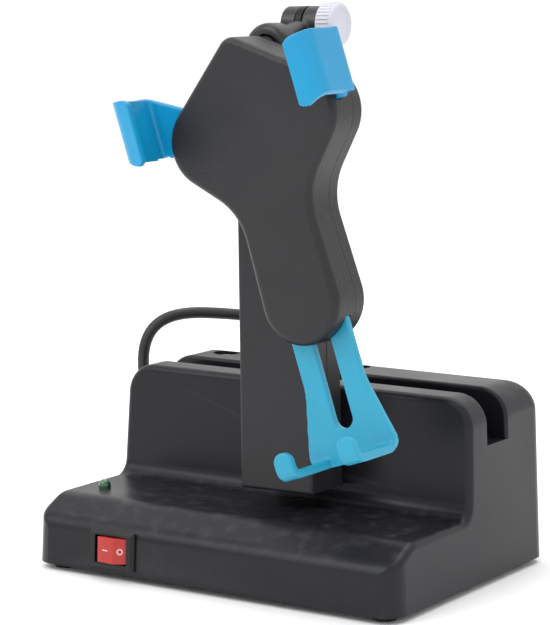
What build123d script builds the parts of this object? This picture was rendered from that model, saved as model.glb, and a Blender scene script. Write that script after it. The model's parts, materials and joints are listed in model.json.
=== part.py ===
from build123d import *
import math
import os

# Motor-driven swinging phone stand: a slow motor in the base rocks a mast, and the
# mast carries a tilting, rolling phone cradle on a ball joint.
# Millimetres, +X to the right, +Y to the back, +Z up. The finished parts have their origin
# on the table top, in the middle of the whole footprint: the base and what overhangs it.

# Base housing
base_length = 164.2
base_depth = 120.9
foot_gap = 2.5            # rubber feet hold the housing this far off the table
draft = 2.3               # mould draft of the outer walls, degrees
corner_radius = 9.0
step_height = 28.0        # low front deck
bevel_height = 20.5       # where the front wall folds into the bevel
bevel_run = 14.7
block_height = 73.3       # tall rear block
wall_y = -2.0             # front wall of the block, at deck level
shell_wall = 2.5
block_end_radius = 12.0
block_edge_radius = 3.0
deck_fillet = 6.0
bevel_radius = 14.0
fold_radius = 7.0         # front wall into the bevel
slot_rim_radius = 1.5
fit_gap = 0.3             # clearance between loose pieces

# Groove across the block
slot_front = 13.6
slot_width = 15.0
slot_floor = 54.0

# Bottom plate, feet and screws
plate_thickness = 2.5
foot_radius = 5.5
foot_inset = 9.6
foot_height = 3.5
post_radius = 4.5
post_inset = 20.0
screw_radius = 1.5
screw_head_radius = 2.9

# Switch and pilot light
switch_x = -42.9
switch_z = 12.2
bezel_width = 21.0
bezel_height = 15.0
bezel_proud = 2.0
switch_depth = 14.0
rocker_width = 14.2
rocker_height = 10.2
lamp_x = -69.0
lamp_y = -30.5
lamp_radius = 2.45

# Recessed screws in the top of the block
top_screw_x = (-60.0, 4.0)
top_screw_y = 43.0
recess_radius = 5.5
recess_depth = 3.0

# Mast and its pivot
pivot_x = 9.6
pivot_z = 42.0
lean = 1.33               # the mast stands stopped a little to the left
mast_width = 32.4
mast_depth = 22.4
mast_front = -26.5
mast_bottom = -7.0        # below the pivot
mast_top = 147.0          # above the pivot
mast_draft = 0.44
mast_wall = 2.2
mast_seam = 13.2
shaft_radius = 4.0
running_gap = 0.05
bush_radius = 6.0
housing_radius = 9.0
housing_front = 3.0
housing_length = 9.6

# Crank drive
lever_length = 20.0
lever_y = 14.0
lever_thickness = 3.0
link_thickness = 3.0
open_pivot_gap = 0.4
crank_radius = 4.3
crank_disc_radius = 10.0
crank_disc_thickness = 3.5
crank_x = -26.0
crank_pin_radius = 1.5
motor_radius = 24.5
motor_length = 20.0
gearbox_length = 8.0
motor_drop = 13.5         # output shaft below the motor's centre
motor_shaft_radius = 2.5
bracket_y = 31.6
bracket_thickness = 2.0

# Tilt joint, neck and ball
head_offset = 3.0         # tilt joint beside the mast's centre line
hinge_y = -2.8
hinge_height = 170.0      # above the pivot
ear_radius = 7.0
ear_thickness = 6.3
tongue_thickness = 2.5
side_gap = 0.3
bolt_radius = 2.0
knob_radius = 8.8
knob_thickness = 7.2
neck_radius = 5.0
ball_y = -29.5
ball_height = 161.4       # above the pivot
ball_radius = 6.0
pad_thickness = 0.5
socket_radius = 8.0
socket_back = 7.6
socket_front = 2.7
nut_radius = 9.8
stem_radius = 3.2

# Phone cradle, in its own frame: u across, v up, depth behind the front face
cradle_roll = 18.66       # cradle turned on its ball, top to the left
cradle_thickness = 21.0
cradle_seam = 13.5
cradle_wall = 2.2
ball_behind = 6.5         # ball centre behind the cradle's back
ball_v = 38.1
apex_v = 37.3
apex_radius = 6.0
lobe_u = 20.0
lobe_v = 9.2
lobe_radius = 16.9
waist_u = 39.6
waist_v = -29.0
waist_radius = 24.0
end_v = -56.2
end_radius = 16.4

# Clips, foot and the pinions that join them
clip_wall_u = 45.25
clip_thickness = 2.6
clip_front = -18.3
clip_low = 10.0
arm_low = 9.0
clip_high = 33.4
lip_reach = 8.6
lip_flare = 2.0            # the lip leans away from the phone
lip_low = 7.0            # the lip droops below the clip's wall
arm_depth = 3.5           # clip arm behind the front face
arm_thickness = 3.0
arm_high = 24.6
arm_inner = 12.0
foot_depth = 8.0
foot_thickness = 3.0
foot_half = 12.9
foot_low = -117.5
foot_top = 16.0
foot_flare = 19.0
foot_slot_half = 4.0
foot_slot_low = -105.0
foot_slot_top = -12.0
hook_u = 13.9
hook_width = 7.8
hook_front = -17.0
hook_top = -107.0
stroke = 5.0
gear_module = 0.9
gear_teeth = 12
rack_addendum = 0.65
gear_v = 3.4
backlash = 0.12
guide_radius = 3.5

# Mains lead
cord_diameter = 5.0
relief_radius = 4.6
cord_route = [            # from the boot's tip, up behind the block, round and down to the table
    (-38, 82, 30), (-41, 104, 30), (-49, 119, 44), (-58, 121, 64), (-68, 106, 77.5),
    (-84, 87.5, 82.5), (-104.8, 67.6, 84.4), (-113.7, 58, 72.6), (-112.5, 59, 46),
    (-104, 66, 22), (-86, 76, 8), (-58, 84, 2.5), (-31, 85.3, 2.5),
]
coil_x = -14.0
coil_y = 117.0
coil_radius = 27.5        # to the middle of the turns
coil_width = 15.0
coil_height = 14.0
plug_length = 36.0
plug_width = 35.3
plug_height = 13.7


def chain(circles):
    """Face bounded by a clockwise run of arcs joined by tangent lines.
    Each entry is x, y, radius: positive turns clockwise, negative the other way, 0 is sharp."""
    count = len(circles)
    leave, arrive = [None] * count, [None] * count
    for i, (x1, y1, r1) in enumerate(circles):
        x2, y2, r2 = circles[(i + 1) % count]
        span = math.hypot(x2 - x1, y2 - y1)
        heading = math.atan2(y2 - y1, x2 - x1) + math.asin((r2 - r1) / span)
        side = (math.sin(heading), -math.cos(heading))
        leave[i] = (x1 - side[0] * r1, y1 - side[1] * r1)
        arrive[(i + 1) % count] = (x2 - side[0] * r2, y2 - side[1] * r2)
    edges = []
    for i, (x, y, r) in enumerate(circles):
        if r:
            start = math.atan2(arrive[i][1] - y, arrive[i][0] - x)
            end = math.atan2(leave[i][1] - y, leave[i][0] - x)
            if r > 0:
                middle = start - ((start - end) % (2 * math.pi)) / 2
            else:
                middle = start + ((end - start) % (2 * math.pi)) / 2
            top = (x + abs(r) * math.cos(middle), y + abs(r) * math.sin(middle))
            edges.append(ThreePointArc(arrive[i], top, leave[i]))
        edges.append(Line(leave[i], arrive[(i + 1) % count]))
    return make_face(edges)


def along_y(face, y0, y1):
    """Prism of an XZ outline between two depths."""
    plane = Plane(origin=(0, y1, 0), x_dir=(1, 0, 0), z_dir=(0, -1, 0))
    return extrude(plane * face, amount=y1 - y0, dir=(0, -1, 0))


def along_x(face, x0, x1):
    """Prism of a YZ outline between two stations."""
    return extrude(Plane.YZ.offset(x0) * face, amount=x1 - x0, dir=(1, 0, 0))


def slab(x0, x1, y0, y1, z0, z1):
    return Pos((x0 + x1) / 2, (y0 + y1) / 2, (z0 + z1) / 2) * Box(x1 - x0, y1 - y0, z1 - z0)


def rod(radius, start, end):
    start, end = Vector(*start), Vector(*end)
    plane = Plane(origin=start, z_dir=end - start)
    return plane * Cylinder(radius, (end - start).length, align=(Align.CENTER, Align.CENTER, Align.MIN))


def pin_y(radius, x, z, y0, y1):
    return rod(radius, (x, y0, z), (x, y1, z))


def pin_z(radius, x, y, z0, z1):
    return rod(radius, (x, y, z0), (x, y, z1))


def pin_x(radius, y, z, x0, x1):
    return rod(radius, (x0, y, z), (x1, y, z))


def write(name, shape):
    """One file per piece, moved so that the footprint's middle is on the origin."""
    solids = ShapeList(shape) if isinstance(shape, list) else shape.solids()
    solids = [Pos(0, centre_shift, 0) * solid for solid in solids]
    solid = solids[0] if len(solids) == 1 else Compound(children=solids)
    solid.label = name
    export_step(solid, f"parts/{name}.step")


os.makedirs("parts", exist_ok=True)
cradle_front = ball_y - ball_behind - cradle_thickness
lip_lean = math.atan(lip_flare / lip_reach)
lip_front = clip_front - lip_flare + clip_thickness / 2 * (1 - math.cos(lip_lean))
centre_shift = -(cradle_front + lip_front + base_depth / 2) / 2
slope = math.tan(math.radians(draft))


# ---------------------------------------------------------------- base housing
def housing(inset):
    """Outer solid of the base, or with an inset the space inside it."""
    top = block_height - inset
    deck = step_height - inset
    low = foot_gap if inset == 0 else 0
    plan = RectangleRounded(base_length - 2 * inset, base_depth - 2 * inset, corner_radius - inset)
    lump = Pos(0, 0, low) * extrude(plan, amount=top - low, taper=draft)
    wall = wall_y + inset
    fold_y = -base_depth / 2 + bevel_height * slope
    rise = (step_height - bevel_height) / bevel_run
    far = base_depth
    shift = inset / math.cos(math.atan(rise))
    bevel_front = bevel_height - rise * (far + fold_y) - shift
    bevel_back = fold_y + bevel_run + (shift - inset) / rise
    front = [(-far, -1), (-far, bevel_front)]
    if inset == 0:
        front = [(fold_y - (bevel_height + 1) * slope + 0.03, -1), (fold_y + 0.03, bevel_height + 0.03 * rise)]
    outline = make_face(Polyline(
        *front, (bevel_back, deck), (wall, deck),
        (wall + (top - deck) * slope, top), (far, top), (far, -1), close=True))
    if inset == 0:
        for corner, radius in ((front[1], fold_radius), ((bevel_back, deck), bevel_radius),
                               ((wall, deck), deck_fillet)):
            outline = fillet(outline.vertices().sort_by_distance(corner)[0], radius)
    solid = lump & along_x(outline, -base_length, base_length)
    side = base_length / 2 - inset - (top - low) * slope
    ends = solid.edges().filter_by(
        lambda e: abs(abs(e.center().X) - side) < 0.1 and abs(e.center().Z - top) < 0.1)
    return fillet(ends, block_end_radius - inset)


def middle_edge(shape, y, z):
    """The long edge that crosses the middle of the base at this depth and height."""
    lines = shape.edges().filter_by(GeomType.LINE).filter_by(Axis.X)
    return lines.sort_by_distance((0, y, z))[0]


def block_outside():
    solid = housing(0)
    top_y = wall_y + (block_height - step_height) * slope
    solid = fillet(middle_edge(solid, top_y, block_height), block_edge_radius) - groove(0)
    rims = [middle_edge(solid, slot_front, block_height),
            middle_edge(solid, slot_front + slot_width, block_height)]
    return fillet(rims, slot_rim_radius)


def groove(grow):
    back = slot_front + slot_width
    return slab(-base_length, base_length, slot_front - grow, back + grow, slot_floor - grow,
                block_height + 10)


inner_low = foot_gap + plate_thickness
housing_screw_spots = [(pivot_x + 11.6 * math.cos(math.radians(turn)),
                        pivot_z + 11.6 * math.sin(math.radians(turn))) for turn in (90, 210, 330)]
post_y = base_depth / 2 - shell_wall - post_radius + 0.4
post_spots = [(sx * (base_length / 2 - post_inset), sy * post_y) for sx in (-1, 1) for sy in (-1, 1)]
foot_spots = [(sx * (base_length / 2 - foot_inset), sy * (base_depth / 2 - foot_inset))
              for sx in (-1, 1) for sy in (-1, 1)]
face_y = -base_depth / 2 + (switch_z - foot_gap) * slope
switch_place = Pos(switch_x, face_y, switch_z) * Rot(-draft, 0, 0)
post_top = step_height - shell_wall - 1
lamp_level = step_height - 12.5
cord_x, cord_y, cord_z = cord_route[0]
boss_depth = 6.0


def base_shell():
    solid = block_outside() - (housing(shell_wall) - groove(shell_wall))
    solid += pin_y(housing_radius + 6, pivot_x, pivot_z, wall_y + 1.5, housing_front)
    for x, z in housing_screw_spots:
        solid -= pin_y(1.2, x, z, 0.4, housing_front + 1)
    for x in top_screw_x:
        solid += pin_z(recess_radius + 2, x, top_screw_y, block_height - boss_depth, block_height - 1)
        solid -= pin_z(recess_radius, x, top_screw_y, block_height - recess_depth, block_height + 1)
        solid -= pin_z(screw_radius + 0.1, x, top_screw_y, block_height - boss_depth - 1, block_height)
    for x, y in post_spots:
        solid += pin_z(post_radius, x, y, inner_low, post_top) & housing(1.0)
        solid -= pin_z(screw_radius, x, y, inner_low - 1, inner_low + 9)
    solid -= switch_place * slab(-bezel_width / 2 + 1, bezel_width / 2 - 1, -5, 8,
                                 -bezel_height / 2 + 1, bezel_height / 2 - 1)
    solid -= pin_z(lamp_radius + 0.05, lamp_x, lamp_y, step_height - 5, step_height + 5)
    solid -= pin_y(bush_radius + 0.4, pivot_x, pivot_z, wall_y - 3, housing_front + 1)
    for dx in (-4.5, 4.5):
        solid += pin_z(1.4, lamp_x + dx, lamp_y - 3.2, lamp_level + 1.2, step_height - 1)
    solid -= pin_y(relief_radius, cord_x, cord_z, base_depth / 2 - 8, base_depth / 2 + 5)
    return solid


def bottom_plate():
    inset = shell_wall + fit_gap
    plan = RectangleRounded(base_length - 2 * inset, base_depth - 2 * inset, corner_radius - shell_wall)
    solid = Pos(0, 0, foot_gap) * extrude(plan, amount=plate_thickness)
    for x, y in post_spots:
        solid -= pin_z(screw_radius + 0.1, x, y, 0, 9)
        solid -= pin_z(screw_head_radius + 0.1, x, y, 0, foot_gap + 1.5)
    for x, y in foot_spots:
        solid -= pin_z(foot_radius, x, y, 0, foot_gap + 1)
    return solid


def rubber_feet():
    pads = []
    for x, y in foot_spots:
        pad = pin_z(foot_radius, x, y, 0, foot_height)
        pads.append(chamfer(pad.edges().sort_by(Axis.Z)[:1], 1.0))
    return pads


def base_screws():
    screws = []
    for x, y in post_spots:
        head = pin_z(screw_head_radius, x, y, foot_gap + 0.2, foot_gap + 1.5)
        screws.append(head + pin_z(screw_radius, x, y, foot_gap + 0.2, inner_low + 8))
    return screws


def top_screws():
    screws = []
    seat = block_height - recess_depth
    for x in top_screw_x:
        shank = pin_z(screw_radius, x, top_screw_y, seat - 9, seat)
        screws.append(shank + pin_z(screw_head_radius, x, top_screw_y, seat, seat + 1.8))
    return screws


# ------------------------------------------------------- switch and pilot light
def switch_body():
    frame = slab(-bezel_width / 2, bezel_width / 2, -bezel_proud, 0, -bezel_height / 2, bezel_height / 2)
    frame = chamfer(frame.edges().group_by(Axis.Y)[0], 1.2)
    body = slab(-bezel_width / 2 + 1.2, bezel_width / 2 - 1.2, 0, switch_depth,
                -bezel_height / 2 + 1.2, bezel_height / 2 - 1.2)
    well = slab(-rocker_width / 2 - 0.3, rocker_width / 2 + 0.3, -5, 9,
                -rocker_height / 2 - 0.3, rocker_height / 2 + 0.3)
    return switch_place * (frame + body - well - rocker_pin(0.15))


rocker_axis_y = 3.0
rocker_tilt = 10.0
rocker_ridge = 1.4        # the ridge between its two slopes is off the middle


def rocker_pin(grow):
    half = rocker_height / 2 + 1.2 + grow
    return pin_z(1.6 + grow, 0, rocker_axis_y, -half, half)


def rocker():
    half = rocker_width / 2 - 0.8
    face = Polygon((-half, -2.2), (rocker_ridge, -4.2), (half, -2.2), (3.2, 8.0), (-3.2, 8.0), align=None)
    key = extrude(face, amount=rocker_height - 0.2)
    key = Pos(0, 0, -(rocker_height - 0.2) / 2) * key
    turn = Pos(0, rocker_axis_y, 0) * Rot(0, 0, rocker_tilt) * Pos(0, -rocker_axis_y, 0)
    return switch_place * turn * (key + rocker_pin(0))


def switch_tabs():
    tabs = [slab(x - 0.4, x + 0.4, switch_depth, switch_depth + 8, -2.4, 2.4) for x in (-6.5, 0.5, 7)]
    return [switch_place * tab for tab in tabs]


def pilot_lamp():
    top = step_height + 1.0
    lens = pin_z(lamp_radius, lamp_x, lamp_y, step_height - 5.5, top)
    lens += Pos(lamp_x, lamp_y, top) * Sphere(lamp_radius)
    return lens + pin_z(2.9, lamp_x, lamp_y, step_height - 5.5, step_height - 4.5)


def lamp_board():
    board = slab(lamp_x - 6, lamp_x + 6, lamp_y - 5, lamp_y + 5, lamp_level, lamp_level + 1.2)
    for dx in (-1.27, 1.27):
        board += pin_z(0.3, lamp_x + dx, lamp_y, lamp_level, step_height - 5.5)
    return board


def lamp_resistor():
    return pin_x(1.1, lamp_y + 3.2, lamp_level + 2.3, lamp_x - 3, lamp_x + 3)


# ------------------------------------------------------------- motor and crank
crank_z = pivot_z - lever_length * math.cos(math.radians(lean))
lever_pin_x = pivot_x + lever_length * math.sin(math.radians(lean))
link_y = lever_y + lever_thickness + 2.6 + open_pivot_gap
disc_y = link_y + link_thickness + 1.0
motor_z = crank_z + motor_drop
motor_y = bracket_y + bracket_thickness


def motor_bracket():
    left, right = top_screw_x[0] - 8, top_screw_x[1] + 8
    flange_top = block_height - boss_depth
    solid = slab(left, right, bracket_y, motor_y, inner_low + 2, flange_top)
    solid += slab(left, right, bracket_y, top_screw_y + 8, flange_top - bracket_thickness, flange_top)
    for x in top_screw_x:
        solid -= pin_z(screw_radius, x, top_screw_y, flange_top - 5, flange_top + 5)
    solid -= pin_y(5.2, crank_x, crank_z, bracket_y - 1, motor_y + 1)
    for dx in (-1, 1):
        solid -= pin_y(screw_radius, crank_x + dx * (motor_radius + 4), motor_z, bracket_y - 1, motor_y + 1)
    return solid


def motor_gearbox():
    solid = pin_y(motor_radius, crank_x, motor_z, motor_y, motor_y + gearbox_length)
    ears = slab(crank_x - motor_radius - 8, crank_x + motor_radius + 8, motor_y, motor_y + 1.5,
                motor_z - 4, motor_z + 4)
    solid += ears + pin_y(5.0, crank_x, crank_z, bracket_y - 0.5, motor_y)
    solid -= pin_y(motor_shaft_radius + running_gap, crank_x, crank_z, bracket_y - 2, motor_y + 6)
    for dx in (-1, 1):
        solid -= pin_y(screw_radius, crank_x + dx * (motor_radius + 4), motor_z, motor_y - 1, motor_y + 3)
    return solid


def motor_can():
    start = motor_y + gearbox_length
    can = pin_y(motor_radius - 0.8, crank_x, motor_z, start, start + motor_length - gearbox_length)
    return fillet(can.edges().sort_by(Axis.Y)[-1:], 1.5)


def motor_screws():
    screws = []
    for dx in (-1, 1):
        x = crank_x + dx * (motor_radius + 4)
        shank = pin_y(screw_radius, x, motor_z, bracket_y, motor_y + 4)
        screws.append(shank + pin_y(screw_head_radius, x, motor_z, bracket_y - 1.6, bracket_y))
    return screws


def crank_disc():
    disc = pin_y(crank_disc_radius, crank_x, crank_z, disc_y, disc_y + crank_disc_thickness)
    disc -= pin_y(motor_shaft_radius, crank_x, crank_z, disc_y + 1, disc_y + 9)
    return disc - pin_y(crank_pin_radius, crank_x, crank_z + crank_radius, disc_y - 1, disc_y + 9)


def motor_shaft():
    return pin_y(motor_shaft_radius, crank_x, crank_z, disc_y + 1, motor_y + 5)


def crank_pin():
    return pin_y(crank_pin_radius, crank_x, crank_z + crank_radius, link_y - 0.8, disc_y + 2.5)


def link_rod():
    start = (crank_x, crank_z + crank_radius)
    end = (lever_pin_x, crank_z)
    bar = along_y(chain([(*start, 4.2), (*end, 4.2)]), link_y, link_y + link_thickness)
    bar -= pin_y(crank_pin_radius + running_gap, *start, link_y - 1, link_y + link_thickness + 1)
    return bar - pin_y(crank_pin_radius, *end, link_y - 1, link_y + link_thickness + 1)


# ------------------------------------------------------------- swinging mast
mast_place = Pos(pivot_x, 0, pivot_z) * Rot(0, -lean, 0)
mast_back = mast_front + mast_depth


def mast_outline(inset):
    half = mast_width / 2 - inset
    narrow = (mast_top - mast_bottom) * math.tan(math.radians(mast_draft))
    low, high = mast_bottom + inset, mast_top - inset
    return Polygon((-half, low), (half, low), (half - narrow, high), (-half + narrow, high), align=None)


mast_posts = (22.0, 78.0, 128.0)
shaft_front = mast_back - 8.0


def mast_front_shell():
    split = mast_front + mast_seam
    shell = along_y(mast_outline(0), mast_front, split)
    shell = chamfer(shell.edges().group_by(Axis.Y)[0], 0.8)
    shell -= along_y(mast_outline(mast_wall), mast_front + mast_wall, split)
    for z in mast_posts:
        shell += pin_y(3.5, 0, z, mast_front + mast_wall, split)
        shell -= pin_y(1.25, 0, z, mast_front + mast_wall + 1, split)
    return mast_place * shell


def mast_rear_shell():
    split = mast_front + mast_seam
    shell = along_y(mast_outline(0), split, mast_back)
    shell -= along_y(mast_outline(mast_wall), split, mast_back - mast_wall)
    shell += pin_y(8.0, 0, 0, split + 1, mast_back) & along_y(mast_outline(0.2), split, mast_back)
    for z in mast_posts:
        shell += pin_y(3.5, 0, z, split, mast_back)
        shell -= pin_y(screw_radius, 0, z, split - 1, mast_back + 1)
        shell -= pin_y(screw_head_radius + 0.1, 0, z, mast_back - 1.6, mast_back + 1)
    shell -= pin_y(shaft_radius, 0, 0, shaft_front, mast_back + 1)
    clamp = slab(head_offset - 6, head_offset + 6, tongue_front - 0.8, mast_back - 0.5, tongue_low - 2,
                 mast_top - 0.5)
    return mast_place * (shell + clamp - tongue_block(running_gap))


def mast_screws():
    screws = []
    split = mast_front + mast_seam
    for z in mast_posts:
        head = pin_y(screw_head_radius, 0, z, mast_back - 1.6, mast_back - 0.2)
        screws.append(mast_place * (head + pin_y(1.25, 0, z, split - 6, mast_back - 0.2)))
    return screws


tongue_low = mast_top - 14.0
tongue_front = -12.0
tongue_back = mast_back - mast_wall - fit_gap


def tongue_block(grow):
    half = tongue_thickness / 2 + grow
    return slab(head_offset - half, head_offset + half, tongue_front - grow, tongue_back + grow,
                tongue_low - grow, mast_top + 1)


def tilt_tongue():
    half = tongue_thickness / 2
    x0, x1 = head_offset - half, head_offset + half
    knee = mast_top + 3
    plate = along_x(chain([(hinge_y, hinge_height, ear_radius), (hinge_y + 5, knee + 6, 0),
                           (tongue_back, knee, 0), (tongue_back, tongue_low, 0),
                           (tongue_front, tongue_low, 0), (tongue_front, knee, 0),
                           (hinge_y - 6.5, knee + 6, 0)]), x0, x1)
    plate -= pin_x(bolt_radius + running_gap, hinge_y, hinge_height, x0 - 1, x1 + 1)
    return mast_place * plate


def pivot_shaft():
    return mast_place * pin_y(shaft_radius, 0, 0, shaft_front, lever_y + lever_thickness + 2)


def swing_lever():
    y1 = lever_y + lever_thickness
    arm = along_y(chain([(0, 0, 7.5), (0, -lever_length, 4.0)]), lever_y, y1)
    arm -= pin_y(shaft_radius, 0, 0, lever_y - 1, y1 + 1)
    return mast_place * (arm - pin_y(1.6, 0, -lever_length, lever_y - 1, y1 + 1))


def lever_pin():
    return mast_place * pin_y(1.6, 0, -lever_length, lever_y, link_y - open_pivot_gap)


def shaft_ring():
    y0 = lever_y + lever_thickness
    ring = pin_y(6.0, 0, 0, y0, y0 + 1) - pin_y(shaft_radius, 0, 0, y0 - 1, y0 + 2)
    return mast_place * ring


def pivot_housing():
    y0, y1 = housing_front, housing_front + housing_length
    body = pin_y(housing_radius, pivot_x, pivot_z, y0, y1)
    body += pin_y(housing_radius + 5, pivot_x, pivot_z, y0, y0 + 2)
    for x, z in housing_screw_spots:
        body -= pin_y(1.25, x, z, y0 - 1, y0 + 3)
        body -= pin_y(2.2, x, z, y0 + 2, y0 + 4)
    return body - pin_y(bush_radius, pivot_x, pivot_z, y0 - 1, y1 + 1)


def pivot_bush(y0, y1):
    body = pin_y(bush_radius, pivot_x, pivot_z, y0, y1)
    return body - pin_y(shaft_radius + running_gap, pivot_x, pivot_z, y0 - 1, y1 + 1)


# ------------------------------------------------------- tilt joint, neck, ball
def neck_arm():
    half = tongue_thickness / 2 + side_gap
    ball = (head_offset, ball_y, ball_height)
    arm = rod(neck_radius, (head_offset, ball_y + socket_back - 1, ball_height + 2),
              (head_offset, hinge_y, hinge_height - 1.5))
    arm += pin_x(ear_radius, hinge_y, hinge_height, head_offset - half - ear_thickness,
                 head_offset + half + ear_thickness)
    arm += pin_y(socket_radius, head_offset, ball_height, ball_y - socket_front, ball_y + socket_back + 2)
    arm -= slab(head_offset - half, head_offset + half, hinge_y - ear_radius - 0.6, 20,
                hinge_height - 20, hinge_height + 20)
    seat = Pos(*ball) * Sphere(ball_radius + 2 * pad_thickness + 0.3)
    arm -= seat & slab(-50, 50, ball_y, ball_y + 20, ball_height - 20, ball_height + 20)
    arm -= Pos(*ball) * Sphere(ball_radius + running_gap)
    arm -= pin_x(bolt_radius + running_gap, hinge_y, hinge_height, head_offset - 20, head_offset + 20)
    arm -= pin_x(3.6, hinge_y, hinge_height, head_offset - half - ear_thickness - 1,
                 head_offset - half - ear_thickness + 3.2)
    return mast_place * arm


def hinge_nut():
    half = tongue_thickness / 2 + side_gap
    x0 = head_offset - half - ear_thickness
    hexagon = extrude(Plane.YZ.offset(x0) * Pos(hinge_y, hinge_height) * RegularPolygon(3.5, 6), amount=3)
    return mast_place * (hexagon - pin_x(bolt_radius + running_gap, hinge_y, hinge_height, x0 - 1, x0 + 5))


def clamp_knob():
    x0 = head_offset + tongue_thickness / 2 + side_gap + ear_thickness + fit_gap
    x1 = x0 + knob_thickness
    body = pin_x(knob_radius, hinge_y, hinge_height, x0, x1)
    body = chamfer(body.edges().group_by(Axis.X)[-1], 0.8)
    body -= pin_x(bolt_radius, hinge_y, hinge_height, x0 - 1, x1 - 2)
    return mast_place * body


def clamp_bolt():
    half = tongue_thickness / 2 + side_gap
    x0 = head_offset - half - ear_thickness - 0.5
    x1 = head_offset + half + ear_thickness + fit_gap + knob_thickness - 2
    return mast_place * pin_x(bolt_radius, hinge_y, hinge_height, x0, x1)


def collar_nut():
    y0, y1 = ball_y - socket_front - 0.6, ball_y + 5.5
    body = pin_y(nut_radius, head_offset, ball_height, y0, y1)
    body = fillet(body.edges().group_by(Axis.Y)[0], 3.0)
    body -= pin_y(socket_radius + 0.1, head_offset, ball_height, y0 + 0.5, y1 + 1)
    return mast_place * (body - pin_y(ball_radius - 0.2, head_offset, ball_height, y0 - 1, y0 + 2))


def ball_pad(inner):
    """Cap of a thin sphere behind the ball: it turns inside the socket with the ball."""
    shell = Sphere(inner + pad_thickness) - Sphere(inner)
    cap = shell & slab(-9, 9, 3.6, 9, -9, 9)
    return mast_place * Pos(head_offset, ball_y, ball_height) * cap


# ---------------------------------------------------------------- phone cradle
ball_world = (mast_place * Pos(head_offset, ball_y, ball_height)).position
cradle_place = (Pos(ball_world.X, ball_world.Y, ball_world.Z) * Rot(0, -cradle_roll, 0)
                * Pos(0, -cradle_thickness - ball_behind, -ball_v))


def cradle_outline(inset):
    right = [(lobe_u, lobe_v, lobe_radius - inset), (waist_u, waist_v, -waist_radius - inset)]
    left = [(-u, v, r) for u, v, r in reversed(right)]
    return chain([(0, apex_v, apex_radius - inset)] + right + [(0, end_v, end_radius - inset)] + left)


cradle_posts = [(-9, 29), (9, 29), (-27, 0), (27, 0)]
guide_spots = [(0, -62), (0, -24)]
gear_pitch = gear_module * gear_teeth / 2
gear_u = foot_half + gear_pitch - rack_addendum * gear_module
rack_line = gear_v + gear_pitch


arm_rise_u = clip_wall_u - clip_thickness / 2 - 16       # where the arm starts to rise to the wall
arm_rise = (clip_high - arm_high) / 16
clip_slot = [(22, arm_low - fit_gap), (60, arm_low - fit_gap),
             (60, arm_high + 0.4 + arm_rise * (60 - arm_rise_u + stroke)),
             (arm_rise_u - stroke, arm_high + 0.4), (22, arm_high + 0.4)]


def cradle_front_shell():
    shell = along_y(cradle_outline(0), 0, cradle_seam)
    shell = fillet(shell.edges().group_by(Axis.Y)[0], 2.8)
    shell -= along_y(cradle_outline(cradle_wall), cradle_wall, cradle_seam)
    for u, v in cradle_posts:
        shell += pin_y(2.6, u, v, cradle_wall, cradle_seam)
        shell -= pin_y(1.25, u, v, cradle_wall + 2, cradle_seam + 1)
    for side in (-1, 1):
        slot = Polygon(*[(side * u, v) for u, v in clip_slot], align=None)
        shell -= along_y(slot, arm_depth - fit_gap, arm_depth + arm_thickness + fit_gap)
    shell -= slab(-foot_half - fit_gap, foot_half + fit_gap, foot_depth - fit_gap,
                  foot_depth + foot_thickness + fit_gap, -90, -58)
    return cradle_place * shell


def cradle_rear_shell():
    shell = along_y(cradle_outline(0), cradle_seam, cradle_thickness)
    shell = fillet(shell.edges().group_by(Axis.Y)[-1], 2.5)
    shell -= along_y(cradle_outline(cradle_wall), cradle_seam, cradle_thickness - cradle_wall)
    back = cradle_thickness
    shell += along_y(cradle_outline(0.5), cradle_seam, back - 1) & slab(-9, 9, 0, back, 33, 60)
    shell -= pin_y(stem_radius + 0.02, 0, ball_v, back - 5.52, back + 1)
    for u, v in cradle_posts:
        shell += pin_y(3.2, u, v, cradle_seam, back)
        shell -= pin_y(1.6, u, v, cradle_seam - 1, back + 1)
        shell -= pin_y(2.6, u, v, back - 1.6, back + 1)
    for u, v in guide_spots:
        shell += pin_y(guide_radius, u, v, foot_depth, back - 0.5)
    for side in (-1, 1):
        shell += pin_y(1.5, side * gear_u, gear_v, arm_depth - 0.5, back - 0.5)
        shell += pin_y(3.0, side * gear_u, gear_v, foot_depth + foot_thickness + 0.6, back - 0.5)
    return cradle_place * shell


def cradle_screws():
    screws = []
    for u, v in cradle_posts:
        head = pin_y(2.5, u, v, cradle_thickness - 1.6, cradle_thickness - 0.2)
        screws.append(cradle_place * (head + pin_y(1.25, u, v, cradle_seam - 6, cradle_thickness - 0.2)))
    return screws


def ball_stud():
    centre = cradle_thickness + ball_behind
    stud = Pos(0, centre, ball_v) * Sphere(ball_radius)
    stud += pin_y(stem_radius, 0, ball_v, cradle_thickness - 5.5, centre)
    return cradle_place * stud


# ------------------------------------------------------- pinions, clips and foot
def involute(base, radius):
    spread = math.sqrt((radius / base) ** 2 - 1)
    return spread - math.atan(spread)


def pinion_outline():
    """Involute pinion, one tooth centred on +u."""
    base = gear_pitch * math.cos(math.radians(20))
    tip, root = gear_pitch + 0.8 * gear_module, gear_pitch - 0.85 * gear_module
    half_tooth = math.pi / (2 * gear_teeth) - backlash / (2 * gear_pitch)
    pitch_turn = involute(base, gear_pitch)
    flank = []
    for i in range(6):
        radius = base + (tip - base) * i / 5
        flank.append((radius, half_tooth + pitch_turn - involute(base, radius)))
    points = []
    for tooth in range(gear_teeth):
        middle = 2 * math.pi * tooth / gear_teeth
        side = [(root, -flank[0][1])] + [(r, -a) for r, a in flank]
        side += [(r, a) for r, a in reversed(flank)] + [(root, flank[0][1])]
        points += [(r * math.cos(middle + a), r * math.sin(middle + a)) for r, a in side]
    return Polygon(*points, align=None)


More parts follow.
